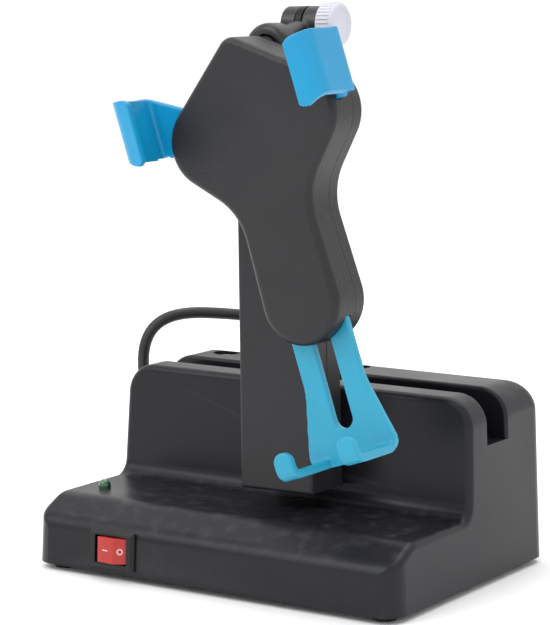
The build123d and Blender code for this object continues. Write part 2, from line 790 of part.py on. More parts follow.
def rack_gap(middle):
    """Corners of one gap of a rack: distance out from the pitch line, distance along it."""
    lean_in = math.tan(math.radians(20))
    quarter = math.pi * gear_module / 4
    root, tip = -gear_module, rack_addendum * gear_module + 0.5
    corners = ((root, -1), (root, 1), (tip, 1), (tip, -1))
    return [(out, middle + side * (quarter + out * lean_in)) for out, side in corners]


def pinion(side):
    gear = along_y(pinion_outline(), arm_depth, foot_depth + foot_thickness)
    gear -= pin_y(1.5 + running_gap, 0, 0, -5, 30)
    return cradle_place * Pos(side * gear_u, 0, gear_v) * gear


tooth_pitch = math.pi * gear_module
rack_tip = rack_line - rack_addendum * gear_module


def phone_clip(side):
    """Right-hand clip, or its mirror: a toothed arm in the cradle, a wall and a lip."""
    half = clip_thickness / 2
    wall = clip_wall_u - half
    middle = arm_depth + arm_thickness / 2
    arm = along_y(Polygon((arm_inner, rack_tip), (arm_inner, arm_high - 6), (arm_inner + 12, arm_high),
                          (arm_rise_u, arm_high), (wall - 4, clip_high - 4 * arm_rise), (wall - 4, arm_low),
                          (wall - 12, arm_low), (wall - 12, rack_tip), align=None),
                  arm_depth, arm_depth + arm_thickness)
    for i in range(-1, 5):
        corners = rack_gap(gear_u + i * tooth_pitch)
        arm -= along_y(Polygon(*[(u, rack_line - out) for out, u in corners], align=None), -1, 12)
    fold = clip_front + half
    path = FilletPolyline((wall - 8, middle), (wall, middle), (wall, fold),
                          (wall - lip_reach, fold - lip_flare), radius=[2.8, 5.5])
    band = Pos(0, 0, lip_low) * extrude(trace(path, clip_thickness), amount=clip_high - lip_low)
    lip = chain([(wall - lip_reach + 4, clip_high - 5.6, 4.5), (wall + 3, clip_high, 0),
                 (wall + 3, clip_low, 0), (wall + 1.5, clip_low - 4, -4),
                 (wall - lip_reach + 2.7, lip_low + 3.2, 3.2)])
    side_view = Polygon((wall - 9, clip_low - 0.6), (wall - 9, clip_high - 9 * arm_rise), (wall, clip_high),
                        (wall + 3, clip_high), (wall + 3, clip_low), (wall - 2, clip_low), align=None)
    band &= along_y(lip, -40, 0) + along_y(side_view, -0.01, 12)
    clip = band + arm
    if side < 0:
        clip = mirror(clip, about=Plane.YZ)
    return cradle_place * clip


def phone_foot():
    flat = chain([(-foot_half + 2, foot_top - 2, 2), (foot_half - 2, foot_top - 2, 2),
                  (foot_half + 25, foot_low + 32, -25), (foot_flare - 5, foot_low + 5, 5),
                  (-foot_flare + 5, foot_low + 5, 5), (-foot_half - 25, foot_low + 32, -25)])
    plate = along_y(flat, foot_depth, foot_depth + foot_thickness)
    slot = chain([(0, foot_slot_top, foot_slot_half), (0, foot_slot_low + foot_slot_half, foot_slot_half)])
    plate -= along_y(slot, 0, 20)
    for side in (-1, 1):
        for i in range(-1, 5):
            corners = rack_gap(gear_v + i * tooth_pitch)
            gap = Polygon(*[(side * (gear_u - gear_pitch + out), v) for out, v in corners], align=None)
            plate -= along_y(gap, 0, 20)
        half = foot_thickness / 2
        path = FilletPolyline((foot_depth + half, foot_low + 12), (foot_depth + half, foot_low + half),
                              (hook_front + half, foot_low + half), (hook_front + half, hook_top),
                              radius=3.5)
        hook = along_x(trace(path, foot_thickness), side * hook_u - hook_width / 2,
                       side * hook_u + hook_width / 2)
        window = RectangleRounded(hook_width, 40, hook_width / 2 - 0.05)
        plate += hook & along_y(Pos(side * hook_u, hook_top - 20) * window, -40, 20)
    return cradle_place * plate


# ---------------------------------------------------------------- mains lead
def strain_relief():
    wall = base_depth / 2 - (cord_z - foot_gap) * slope
    boot = Plane(origin=(cord_x, cord_y, cord_z), x_dir=(1, 0, 0), z_dir=(0, -1, 0)) * Cone(
        cord_diameter / 2 + 0.6, relief_radius, cord_y - wall - 2,
        align=(Align.CENTER, Align.CENTER, Align.MIN))
    boot += pin_y(relief_radius - 0.05, cord_x, cord_z, wall - shell_wall - 2, wall + 1)
    boot += pin_y(relief_radius + 1.8, cord_x, cord_z, wall + 0.6, wall + 2.4)
    return boot + pin_y(relief_radius + 1.8, cord_x, cord_z, wall - shell_wall - 2.2, wall - shell_wall - 0.6)


def route_radii(points):
    radii = []
    for before, at, after in zip(points, points[1:], points[2:]):
        back, on = Vector(*at) - Vector(*before), Vector(*after) - Vector(*at)
        half_turn = math.radians(back.get_angle(on) / 2)
        radii.append(0.45 * min(back.length, on.length) / math.tan(half_turn))
    return radii


def cord():
    radii = route_radii(cord_route)
    path = FilletPolyline(*cord_route, radius=radii)
    tube = sweep(Plane(origin=cord_route[0], z_dir=path % 0) * Circle(cord_diameter / 2), path=path)
    expected = math.pi * cord_diameter ** 2 / 4 * path.length
    print("cord radii", [round(r, 1) for r in radii])
    print("cord run", round(path.length, 1), "volume over section x length", round(tube.volume / expected, 4))
    return tube


def cord_coil():
    ring = pin_z(coil_radius + coil_width / 2, coil_x, coil_y, 0, coil_height)
    ring -= pin_z(coil_radius - coil_width / 2, coil_x, coil_y, -1, coil_height + 1)
    return chamfer(ring.edges(), 2.0)


plug_y = coil_y + coil_radius
plug_back = coil_x - 40.0


def plug_body():
    body = slab(plug_back - plug_length, plug_back, plug_y - plug_width / 2, plug_y + plug_width / 2,
                0, plug_height)
    body = fillet(body.edges().filter_by(Axis.Z), 5.0)
    body = chamfer(body.edges().group_by(Axis.Z)[0] + body.edges().group_by(Axis.Z)[-1], 1.2)
    level = plug_height / 2
    reach = math.sqrt((coil_radius + coil_width / 2) ** 2 - coil_radius ** 2)
    return body + rod(cord_diameter / 2 + 0.8, (plug_back - 2, plug_y, level), (coil_x - reach - 2, plug_y, level))


def plug_pins():
    tip = plug_back - plug_length - 19
    return [pin_x(2.0, plug_y + dy, plug_height / 2, tip, tip + 19) for dy in (-9.3, 9.3)]


def housing_screws():
    screws = []
    for x, z in housing_screw_spots:
        screws.append(pin_y(1.2, x, z, 0.5, housing_front + 2) +
                      pin_y(2.1, x, z, housing_front + 2, housing_front + 3.4))
    return screws


house_end = housing_front + housing_length
pieces = {
    "base_shell": base_shell(),
    "bottom_plate": bottom_plate(),
    "rubber_feet": rubber_feet(),
    "base_screws": base_screws(),
    "top_screws": top_screws(),
    "switch_body": switch_body(),
    "switch_tabs": switch_tabs(),
    "rocker": rocker(),
    "pilot_lamp": pilot_lamp(),
    "lamp_board": lamp_board(),
    "lamp_resistor": lamp_resistor(),
    "motor_bracket": motor_bracket(),
    "motor_gearbox": motor_gearbox(),
    "motor_can": motor_can(),
    "motor_screws": motor_screws(),
    "motor_shaft": motor_shaft(),
    "crank_disc": crank_disc(),
    "crank_pin": crank_pin(),
    "link_rod": link_rod(),
    "pivot_housing": pivot_housing(),
    "housing_screws": housing_screws(),
    "front_bush": pivot_bush(housing_front - 1, housing_front + 3),
    "rear_bush": pivot_bush(house_end - 4, house_end),
    "pivot_shaft": pivot_shaft(),
    "swing_lever": swing_lever(),
    "lever_pin": lever_pin(),
    "shaft_ring": shaft_ring(),
    "mast_front_shell": mast_front_shell(),
    "mast_rear_shell": mast_rear_shell(),
    "mast_screws": mast_screws(),
    "tilt_tongue": tilt_tongue(),
    "neck_arm": neck_arm(),
    "hinge_nut": hinge_nut(),
    "clamp_knob": clamp_knob(),
    "clamp_bolt": clamp_bolt(),
    "collar_nut": collar_nut(),
    "outer_pad": ball_pad(ball_radius + pad_thickness + 0.15),
    "inner_pad": ball_pad(ball_radius + 0.05),
    "ball_stud": ball_stud(),
    "cradle_front_shell": cradle_front_shell(),
    "cradle_rear_shell": cradle_rear_shell(),
    "cradle_screws": cradle_screws(),
    "phone_foot": phone_foot(),
    "right_clip": phone_clip(1),
    "left_clip": phone_clip(-1),
    "right_pinion": pinion(1),
    "left_pinion": pinion(-1),
    "strain_relief": strain_relief(),
    "cord": cord(),
    "cord_coil": cord_coil(),
    "plug_body": plug_body(),
    "plug_pins": plug_pins(),
}
for name, shape in pieces.items():
    write(name, shape)
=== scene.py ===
import bpy
import bmesh
import json
import math
from mathutils import Matrix, Vector


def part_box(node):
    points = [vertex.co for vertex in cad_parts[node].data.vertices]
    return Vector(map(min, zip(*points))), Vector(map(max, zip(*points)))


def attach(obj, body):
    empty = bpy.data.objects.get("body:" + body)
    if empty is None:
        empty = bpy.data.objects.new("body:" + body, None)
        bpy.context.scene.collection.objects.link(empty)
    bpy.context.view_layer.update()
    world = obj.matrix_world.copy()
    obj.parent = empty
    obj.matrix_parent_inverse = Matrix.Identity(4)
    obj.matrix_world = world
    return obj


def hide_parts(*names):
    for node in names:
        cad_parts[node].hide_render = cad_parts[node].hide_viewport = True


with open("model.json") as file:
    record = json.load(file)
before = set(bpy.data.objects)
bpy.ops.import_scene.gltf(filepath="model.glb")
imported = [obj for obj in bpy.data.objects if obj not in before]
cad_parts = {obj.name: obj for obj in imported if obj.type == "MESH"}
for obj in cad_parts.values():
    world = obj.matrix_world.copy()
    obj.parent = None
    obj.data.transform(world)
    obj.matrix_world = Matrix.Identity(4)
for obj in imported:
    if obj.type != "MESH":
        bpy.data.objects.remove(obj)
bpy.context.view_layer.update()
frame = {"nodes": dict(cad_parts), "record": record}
nodes = frame["nodes"]
scene = bpy.context.scene
print("frame loaded:", len(nodes), "nodes")


def corners(node):
    low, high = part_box(node)
    return Vector(low), Vector(high)


def centre(node):
    low, high = corners(node)
    return (low + high) / 2


baseBox = corners("base_shell")
baseHalfDepth = 0.06045
backShift = baseBox[1].y - baseHalfDepth  # from the origin back to the base's own middle

cameraSettings = {
    "place": (0.5093, -0.7963 + backShift, 0.2373),
    "around": 33.0,  # degrees to the right of straight on
    "down": 8.25,
    "lens": 141.1,
    "sensor": 36.0,
}


def makeCamera(s):
    data = bpy.data.cameras.new("camera")
    data.lens, data.sensor_fit, data.sensor_height = s["lens"], "VERTICAL", s["sensor"]
    camera = bpy.data.objects.new("camera", data)
    scene.collection.objects.link(camera)
    camera.location = s["place"]
    camera.rotation_euler = (math.radians(90 - s["down"]), 0, math.radians(s["around"]))
    scene.camera = camera


makeCamera(cameraSettings)


def nodeTree(material):
    material.use_nodes = True
    tree = material.node_tree
    tree.nodes.clear()
    return tree


def add(tree, kind, x=0, y=0, **values):
    node = tree.nodes.new(kind)
    node.location = (x, y)
    for name, value in values.items():
        setattr(node, name, value)
    return node


def newGroup(name, inputs, outputs, kind="ShaderNodeTree"):
    tree = bpy.data.node_groups.new(name, kind)
    for label, socketType, default in inputs:
        socket = tree.interface.new_socket(label, in_out="INPUT", socket_type=socketType)
        if default is not None:
            socket.default_value = default
    for label, socketType in outputs:
        tree.interface.new_socket(label, in_out="OUTPUT", socket_type=socketType)
    return tree, add(tree, "NodeGroupInput", -900), add(tree, "NodeGroupOutput", 900)


floatIn = "NodeSocketFloat"


def makeMouldGrain():
    tree, ins, outs = newGroup(
        "mouldGrain",
        [("Grain per metre", floatIn, 2200.0), ("Flow per metre", floatIn, 30.0)],
        [("Height", floatIn), ("Patches", floatIn)],
    )
    place = add(tree, "ShaderNodeTexCoord", -700, 200)
    fine = add(tree, "ShaderNodeTexNoise", -450, 250, noise_dimensions="3D")
    fine.inputs["Detail"].default_value = 3.0
    fine.inputs["Roughness"].default_value = 0.65
    pits = add(tree, "ShaderNodeTexVoronoi", -450, 0, feature="SMOOTH_F1")
    pits.inputs["Smoothness"].default_value = 0.6
    wide = add(tree, "ShaderNodeTexNoise", -450, -300)
    wide.inputs["Detail"].default_value = 4.0
    mix = add(tree, "ShaderNodeMath", -100, 150, operation="MULTIPLY_ADD")
    mix.inputs[1].default_value = 0.5
    soften = add(tree, "ShaderNodeMapRange", -100, -250)
    soften.inputs["From Min"].default_value, soften.inputs["From Max"].default_value = 0.3, 0.7
    link = tree.links.new
    for texture in (fine, pits, wide):
        link(place.outputs["Object"], texture.inputs["Vector"])
    link(ins.outputs["Grain per metre"], fine.inputs["Scale"])
    link(ins.outputs["Grain per metre"], pits.inputs["Scale"])
    link(ins.outputs["Flow per metre"], wide.inputs["Scale"])
    link(pits.outputs["Distance"], mix.inputs[0])
    link(fine.outputs["Fac"], mix.inputs[2])
    link(mix.outputs[0], outs.inputs["Height"])
    link(wide.outputs["Fac"], soften.inputs["Value"])
    link(soften.outputs["Result"], outs.inputs["Patches"])
    return tree


def makeEdgeWear():
    tree, ins, outs = newGroup(
        "edgeWear",
        [("Sharpness", floatIn, 0.54), ("Breaks per metre", floatIn, 400.0)],
        [("Mask", floatIn)],
    )
    shape = add(tree, "ShaderNodeNewGeometry", -700, 200)
    place = add(tree, "ShaderNodeTexCoord", -700, -100)
    spots = add(tree, "ShaderNodeTexNoise", -450, -100)
    spots.inputs["Detail"].default_value = 5.0
    ridge = add(tree, "ShaderNodeMapRange", -300, 200)
    ridge.inputs["From Max"].default_value = 0.62
    broken = add(tree, "ShaderNodeMath", 0, 100, operation="MULTIPLY")
    link = tree.links.new
    link(shape.outputs["Pointiness"], ridge.inputs["Value"])
    link(ins.outputs["Sharpness"], ridge.inputs["From Min"])
    link(place.outputs["Object"], spots.inputs["Vector"])
    link(ins.outputs["Breaks per metre"], spots.inputs["Scale"])
    link(ridge.outputs["Result"], broken.inputs[0])
    link(spots.outputs["Fac"], broken.inputs[1])
    link(broken.outputs[0], outs.inputs["Mask"])
    return tree


def makeDust():
    tree, ins, outs = newGroup("dust", [("Specks per metre", floatIn, 180.0)], [("Mask", floatIn)])
    shape = add(tree, "ShaderNodeNewGeometry", -700, 200)
    split = add(tree, "ShaderNodeSeparateXYZ", -500, 200)
    up = add(tree, "ShaderNodeMapRange", -300, 200)
    up.inputs["From Min"].default_value, up.inputs["From Max"].default_value = 0.3, 1.0
    place = add(tree, "ShaderNodeTexCoord", -700, -100)
    specks = add(tree, "ShaderNodeTexNoise", -450, -100)
    specks.inputs["Detail"].default_value = 8.0
    thin = add(tree, "ShaderNodeMapRange", -250, -100)
    thin.inputs["From Min"].default_value, thin.inputs["From Max"].default_value = 0.5, 0.75
    both = add(tree, "ShaderNodeMath", 100, 100, operation="MULTIPLY")
    link = tree.links.new
    link(shape.outputs["Normal"], split.inputs[0])
    link(split.outputs["Z"], up.inputs["Value"])
    link(place.outputs["Object"], specks.inputs["Vector"])
    link(ins.outputs["Specks per metre"], specks.inputs["Scale"])
    link(specks.outputs["Fac"], thin.inputs["Value"])
    link(up.outputs["Result"], both.inputs[0])
    link(thin.outputs["Result"], both.inputs[1])
    link(both.outputs[0], outs.inputs["Mask"])
    return tree


grainGroup, wearGroup, dustGroup = makeMouldGrain(), makeEdgeWear(), makeDust()


plasticDefaults = {
    "flow": 30.0, "wear": 0.5, "dust": 0.06, "roughSpread": 0.05, "bumpDepth": 0.00006,
    "specular": 0.5, "coat": 0.0, "coatRough": 0.15, "glow": 0.0, "glowDepth": 0.002,
}
dustColor = (0.42, 0.40, 0.37, 1)


def makePlastic(name, values):
    s = {**plasticDefaults, **values}
    material = bpy.data.materials.new(name)
    tree = nodeTree(material)
    link = tree.links.new
    out = add(tree, "ShaderNodeOutputMaterial", 900)
    shader = add(tree, "ShaderNodeBsdfPrincipled", 600)
    grain = add(tree, "ShaderNodeGroup", -600, 0, node_tree=grainGroup)
    grain.inputs["Grain per metre"].default_value = s["grain"]
    grain.inputs["Flow per metre"].default_value = s["flow"]
    wear = add(tree, "ShaderNodeGroup", -600, -250, node_tree=wearGroup)
    dust = add(tree, "ShaderNodeGroup", -600, -450, node_tree=dustGroup)
    patch = add(tree, "ShaderNodeMix", -300, 300, data_type="RGBA")
    patch.inputs["A"].default_value = (*s["color"], 1)
    patch.inputs["B"].default_value = (*s["shade"], 1)
    worn = add(tree, "ShaderNodeMix", -100, 200, data_type="RGBA")
    worn.inputs["B"].default_value = (*s["worn"], 1)
    dusty = add(tree, "ShaderNodeMix", 100, 150, data_type="RGBA")
    dusty.inputs["B"].default_value = dustColor
    wearAmount = add(tree, "ShaderNodeMath", -350, -250, operation="MULTIPLY")
    wearAmount.inputs[1].default_value = s["wear"]
    dustAmount = add(tree, "ShaderNodeMath", -350, -450, operation="MULTIPLY")
    dustAmount.inputs[1].default_value = s["dust"]
    rough = add(tree, "ShaderNodeMapRange", 100, -50)
    rough.inputs["To Min"].default_value = s["rough"] - s["roughSpread"]
    rough.inputs["To Max"].default_value = s["rough"] + s["roughSpread"]
    bump = add(tree, "ShaderNodeBump", 300, -350)
    bump.inputs["Strength"].default_value = s["bump"]
    bump.inputs["Distance"].default_value = s["bumpDepth"]
    link(grain.outputs["Patches"], patch.inputs["Factor"])
    link(patch.outputs["Result"], worn.inputs["A"])
    link(wear.outputs["Mask"], wearAmount.inputs[0])
    link(wearAmount.outputs[0], worn.inputs["Factor"])
    link(worn.outputs["Result"], dusty.inputs["A"])
    link(dust.outputs["Mask"], dustAmount.inputs[0])
    link(dustAmount.outputs[0], dusty.inputs["Factor"])
    link(dusty.outputs["Result"], shader.inputs["Base Color"])
    link(grain.outputs["Patches"], rough.inputs["Value"])
    link(rough.outputs["Result"], shader.inputs["Roughness"])
    link(grain.outputs["Height"], bump.inputs["Height"])
    link(bump.outputs["Normal"], shader.inputs["Normal"])
    shader.inputs["Specular IOR Level"].default_value = s["specular"]
    shader.inputs["Coat Weight"].default_value = s["coat"]
    shader.inputs["Coat Roughness"].default_value = s["coatRough"]
    shader.inputs["Subsurface Weight"].default_value = s["glow"]
    shader.inputs["Subsurface Scale"].default_value = s["glowDepth"]
    link(shader.outputs[0], out.inputs["Surface"])
    return material


turning = {"stretch": (1, 1, 14), "lines": 500.0, "roughSpread": 0.08, "bump": 0.25, "bumpDepth": 0.00003}


def makeTurnedMetal(name, s):
    material = bpy.data.materials.new(name)
    tree = nodeTree(material)
    link = tree.links.new
    out = add(tree, "ShaderNodeOutputMaterial", 900)
    shader = add(tree, "ShaderNodeBsdfPrincipled", 600)
    place = add(tree, "ShaderNodeTexCoord", -900)
    stretch = add(tree, "ShaderNodeMapping", -700)
    stretch.inputs["Scale"].default_value = turning["stretch"]
    lines = add(tree, "ShaderNodeTexNoise", -450)
    lines.inputs["Scale"].default_value = turning["lines"]
    lines.inputs["Detail"].default_value = 4.0
    tint = add(tree, "ShaderNodeMix", 0, 200, data_type="RGBA")
    tint.inputs["A"].default_value = (*s["color"], 1)
    tint.inputs["B"].default_value = (*s["shade"], 1)
    rough = add(tree, "ShaderNodeMapRange", 0, -100)
    rough.inputs["To Min"].default_value = s["rough"] - turning["roughSpread"]
    rough.inputs["To Max"].default_value = s["rough"] + turning["roughSpread"]
    bump = add(tree, "ShaderNodeBump", 200, -300)
    bump.inputs["Strength"].default_value = turning["bump"]
    bump.inputs["Distance"].default_value = turning["bumpDepth"]
    link(place.outputs["Object"], stretch.inputs["Vector"])
    link(stretch.outputs["Vector"], lines.inputs["Vector"])
    link(lines.outputs["Fac"], tint.inputs["Factor"])
    link(lines.outputs["Fac"], rough.inputs["Value"])
    link(lines.outputs["Fac"], bump.inputs["Height"])
    link(tint.outputs["Result"], shader.inputs["Base Color"])
    link(rough.outputs["Result"], shader.inputs["Roughness"])
    link(bump.outputs["Normal"], shader.inputs["Normal"])
    shader.inputs["Metallic"].default_value = 1.0
    link(shader.outputs[0], out.inputs["Surface"])
    return material


plasticFinishes = {
    "blackShell": {
        "color": (0.008, 0.0075, 0.0105), "shade": (0.012, 0.0115, 0.015),
        "worn": (0.045, 0.045, 0.05), "grain": 2600.0, "rough": 0.33, "bump": 0.35,
        "specular": 0.26,
    },
    "blackMast": {
        "color": (0.013, 0.013, 0.015), "shade": (0.018, 0.018, 0.021),
        "worn": (0.05, 0.05, 0.055), "grain": 2600.0, "rough": 0.42, "bump": 0.4,
        "specular": 0.34,
    },
    "blackCradle": {
        "color": (0.014, 0.014, 0.016), "shade": (0.02, 0.02, 0.022),
        "worn": (0.06, 0.06, 0.065), "grain": 1100.0, "rough": 0.38, "bump": 0.9,
        "bumpDepth": 0.00016, "specular": 0.32,
    },
    "blackNeck": {
        "color": (0.012, 0.012, 0.014), "shade": (0.018, 0.018, 0.02),
        "worn": (0.05, 0.05, 0.055), "grain": 2200.0, "rough": 0.34, "bump": 0.35,
        "specular": 0.45,
    },
    "blueClip": {
        "color": (0.004, 0.28, 0.52), "shade": (0.004, 0.25, 0.48), "worn": (0.10, 0.50, 0.72),
        "grain": 1800.0, "rough": 0.3, "bump": 0.15, "specular": 0.42, "glow": 0.08,
        "dust": 0.02,
    },
    "blueFoot": {
        "color": (0.02, 0.31, 0.47), "shade": (0.016, 0.28, 0.43), "worn": (0.12, 0.50, 0.66),
        "grain": 1800.0, "rough": 0.34, "bump": 0.15, "specular": 0.4, "glow": 0.08,
        "dust": 0.02,
    },
    "redRocker": {
        "color": (0.42, 0.018, 0.012), "shade": (0.38, 0.015, 0.01), "worn": (0.6, 0.1, 0.08),
        "grain": 2500.0, "rough": 0.26, "bump": 0.12, "specular": 0.45, "glow": 0.08,
    },
    "switchBlack": {
        "color": (0.007, 0.007, 0.008), "shade": (0.011, 0.011, 0.012),
        "worn": (0.035, 0.035, 0.035), "grain": 3000.0, "rough": 0.38, "bump": 0.3,
        "specular": 0.3,
    },
    "lampGreen": {
        "color": (0.01, 0.10, 0.04), "shade": (0.01, 0.08, 0.03), "worn": (0.05, 0.2, 0.08),
        "grain": 900.0, "rough": 0.12, "bump": 0.05, "coat": 1.0, "coatRough": 0.03,
        "glow": 0.3,
    },
    "markWhite": {
        "color": (0.72, 0.66, 0.64), "shade": (0.66, 0.60, 0.58), "worn": (0.6, 0.4, 0.4),
        "grain": 3000.0, "rough": 0.5, "bump": 0.3,
    },
    "knobWhite": {
        "color": (0.60, 0.61, 0.68), "shade": (0.55, 0.56, 0.63), "worn": (0.75, 0.75, 0.8),
        "grain": 2200.0, "rough": 0.42, "bump": 0.25, "specular": 0.3, "glow": 0.05,
    },
    "innerWhite": {
        "color": (0.60, 0.60, 0.57), "shade": (0.54, 0.54, 0.51), "worn": (0.7, 0.7, 0.68),
        "grain": 2000.0, "rough": 0.4, "bump": 0.2, "glow": 0.1, "dust": 0.0,
    },
    "padGrey": {
        "color": (0.09, 0.09, 0.095), "shade": (0.12, 0.12, 0.125), "worn": (0.2, 0.2, 0.2),
        "grain": 2000.0, "rough": 0.5, "bump": 0.3, "dust": 0.0,
    },
    "undersideBlack": {
        "color": (0.012, 0.012, 0.013), "shade": (0.02, 0.02, 0.022),
        "worn": (0.05, 0.05, 0.05), "grain": 900.0, "rough": 0.6, "bump": 0.7,
        "bumpDepth": 0.00015,
    },
    "feetRubber": {
        "color": (0.014, 0.014, 0.014), "shade": (0.024, 0.023, 0.022),
        "worn": (0.06, 0.058, 0.055), "grain": 1200.0, "rough": 0.78, "bump": 0.7,
        "specular": 0.3,
    },
    "leadRubber": {
        "color": (0.014, 0.014, 0.016), "shade": (0.022, 0.022, 0.024),
        "worn": (0.04, 0.04, 0.04), "grain": 1400.0, "rough": 0.4, "bump": 0.3, "flow": 60.0,
        "specular": 0.4,
    },
    "boardGreen": {
        "color": (0.02, 0.13, 0.04), "shade": (0.03, 0.17, 0.06), "worn": (0.3, 0.25, 0.1),
        "grain": 1500.0, "rough": 0.35, "bump": 0.2, "coat": 0.4, "dust": 0.0,
    },
    "resistorTan": {
        "color": (0.50, 0.36, 0.20), "shade": (0.45, 0.30, 0.16), "worn": (0.6, 0.5, 0.35),
        "grain": 1500.0, "rough": 0.35, "bump": 0.2, "coat": 0.4, "dust": 0.0,
    },
    "motorPaint": {
        "color": (0.33, 0.34, 0.36), "shade": (0.28, 0.29, 0.31), "worn": (0.55, 0.55, 0.56),
        "grain": 1500.0, "rough": 0.4, "bump": 0.3, "dust": 0.0,
    },
}
metalFinishes = {
    "zincPlate": {"color": (0.62, 0.62, 0.60), "shade": (0.50, 0.51, 0.52), "rough": 0.36},
    "turnedSteel": {"color": (0.56, 0.56, 0.57), "shade": (0.46, 0.46, 0.47), "rough": 0.28},
    "pinBrass": {"color": (0.80, 0.62, 0.30), "shade": (0.70, 0.52, 0.24), "rough": 0.25},
    # dark steel colour, also used as painted shade: on tilt_tongue for the deep shade in the gap between
    # the ears, and on the screw crosses for the shade in their recesses
    "darkSteelAndPaintedShade": {"color": (0.035, 0.035, 0.038), "shade": (0.02, 0.02, 0.022), "rough": 0.42},
    "bushBronze": {"color": (0.58, 0.38, 0.20), "shade": (0.48, 0.30, 0.15), "rough": 0.45},
}
finish = {name: makePlastic(name, s) for name, s in plasticFinishes.items()}
finish.update({name: makeTurnedMetal(name, s) for name, s in metalFinishes.items()})

nodeFinishes = {
    "blackShell": ["base_shell", "plug_body"],
    "blackMast": ["mast_front_shell", "mast_rear_shell"],
    "blackCradle": ["cradle_front_shell", "cradle_rear_shell"],
    "blackNeck": ["neck_arm", "collar_nut"],
    "blueClip": ["right_clip", "left_clip"],
    "blueFoot": ["phone_foot"],
    "redRocker": ["rocker"],
    "switchBlack": ["switch_body"],
    "lampGreen": ["pilot_lamp"],
    "knobWhite": ["clamp_knob"],
    "innerWhite": ["crank_disc", "link_rod", "right_pinion", "left_pinion", "pivot_housing"],
    "padGrey": ["outer_pad", "inner_pad"],
    # tilt_tongue wears this dark steel as painted shade for the gap between the ears; ball_stud is dark
    # steel
    "darkSteelAndPaintedShade": ["tilt_tongue", "ball_stud"],
    "undersideBlack": ["bottom_plate"],
    "feetRubber": ["rubber_feet"],
    "leadRubber": ["strain_relief"],
    "boardGreen": ["lamp_board"],
    "resistorTan": ["lamp_resistor"],
    "motorPaint": ["motor_can"],
    "zincPlate": ["base_screws", "top_screws", "motor_screws", "mast_screws", "cradle_screws",
                  "housing_screws", "motor_bracket", "hinge_nut", "clamp_bolt"],
    "turnedSteel": ["motor_shaft", "crank_pin", "lever_pin", "pivot_shaft", "swing_lever", "shaft_ring",
                    "motor_gearbox"],
    "pinBrass": ["switch_tabs", "plug_pins"],
    "bushBronze": ["front_bush", "rear_bush"],
}


def wearFinish(thing, material):
    thing.data.materials.clear()
    thing.data.materials.append(material)


for name, members in nodeFinishes.items():
    for member in members:
        wearFinish(nodes[member], finish[name])
print("finishes made:", len(finish))

leadSettings = {
    "length": 1.258,  # metres, of the route and turns below
    "diameter": 0.005,
    "route": [(-38, 82, 30), (-41, 104, 30), (-49, 119, 44), (-58, 121, 64), (-68, 106, 77.5),
              (-84, 87.5, 82.5), (-105, 65.5, 84.4), (-113.6, 56, 72.6), (-112.4, 57.5, 46),
              (-104, 66, 22), (-86, 76, 8), (-58, 84, 2.5), (-31, 85.3, 2.5)],  # millimetres
    "turns": [(32.5, 2.5), (27.5, 2.5), (22.5, 2.5), (25.0, 6.9), (30.0, 6.9), (27.5, 11.2)],
    "pointsPerTurn": 16,
    "firstPoint": 2,
    "startAngle": -95,  # degrees
    "holdShare": 0.75,  # share of a turn before the lead moves over to the next one
    "plugEntry": (0.012, 0.0, 0.003),
    "plugSink": (-0.001, 0, 0),
    "roundness": 5,
}


def coilPoints(s, middle):
    points = []
    count = s["pointsPerTurn"]
    turns = s["turns"]
    total = len(turns) * count - count // 2
    for i in range(s["firstPoint"], total):
        turn, step = divmod(i, count)
        here, after = turns[turn], turns[min(turn + 1, len(turns) - 1)]
        ease = max(0.0, (step / count - s["holdShare"]) / (1 - s["holdShare"]))
        ease = ease * ease * (3 - 2 * ease)
        radius = here[0] + (after[0] - here[0]) * ease
        level = here[1] + (after[1] - here[1]) * ease
        angle = math.radians(s["startAngle"]) + 2 * math.pi * i / count
        points.append((middle.x + radius / 1000 * math.cos(angle),
                       middle.y + radius / 1000 * math.sin(angle), level / 1000))
    return points


def makeLead(s):
    coil = centre("cord_coil")
    plugLow, plugHigh = corners("plug_body")
    route = [(x / 1000, y / 1000 + backShift, z / 1000) for x, y, z in s["route"]]
    points = route + coilPoints(s, coil)
    tail = Vector((plugHigh.x, (plugLow.y + plugHigh.y) / 2, (plugLow.z + plugHigh.z) / 2))
    points += [tuple(tail + Vector(s[key])) for key in ("plugEntry", "plugSink")]
    curve = bpy.data.curves.new("lead", "CURVE")
    curve.dimensions = "3D"
    spline = curve.splines.new("NURBS")
    spline.points.add(len(points) - 1)
    for point, place in zip(spline.points, points):
        point.co = (*place, 1)
    spline.order_u = 3
    spline.use_endpoint_u = True
    spline.resolution_u = 8
    lead = bpy.data.objects.new("lead", curve)
    scene.collection.objects.link(lead)
    curve.bevel_depth = s["diameter"] / 2
    curve.bevel_resolution = s["roundness"]
    curve.use_fill_caps = True
    curve.materials.append(finish["leadRubber"])
    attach(lead, "base")
    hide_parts("cord", "cord_coil")
    print("lead laid:", len(points), "points")


makeLead(leadSettings)


def bodyName(node):
    for body, members in frame["record"]["behaviour"]["bodies"].items():
        if node in members:
            return body
    return None


mergeDistance = 1e-6
flattenAngle = 0.5  # degrees between faces that are joined


def mergedMesh(node, suffix, flatten):
    mesh = nodes[node].data.copy()
    mesh.name = node + suffix
    work = bmesh.new()
    work.from_mesh(mesh)
    bmesh.ops.remove_doubles(work, verts=work.verts, dist=mergeDistance)
    if flatten:
        bmesh.ops.dissolve_limit(
            work, angle_limit=math.radians(flatten), verts=work.verts, edges=work.edges)
    work.to_mesh(mesh)
    work.free()
    return mesh


def bakedCopy(piece):
    baked = bpy.data.meshes.new_from_object(piece.evaluated_get(bpy.context.evaluated_depsgraph_get()))
    baked.name = piece.name
    piece.modifiers.clear()
    piece.data = baked
    return baked


def standFor(piece, node):
    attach(piece, bodyName(node))
    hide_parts(node)


easeSettings = {
    "segments": 2,
    "limit": 32,  # degrees
    "flatArea": 0.00012,  # square metres; larger faces keep their own plane
}


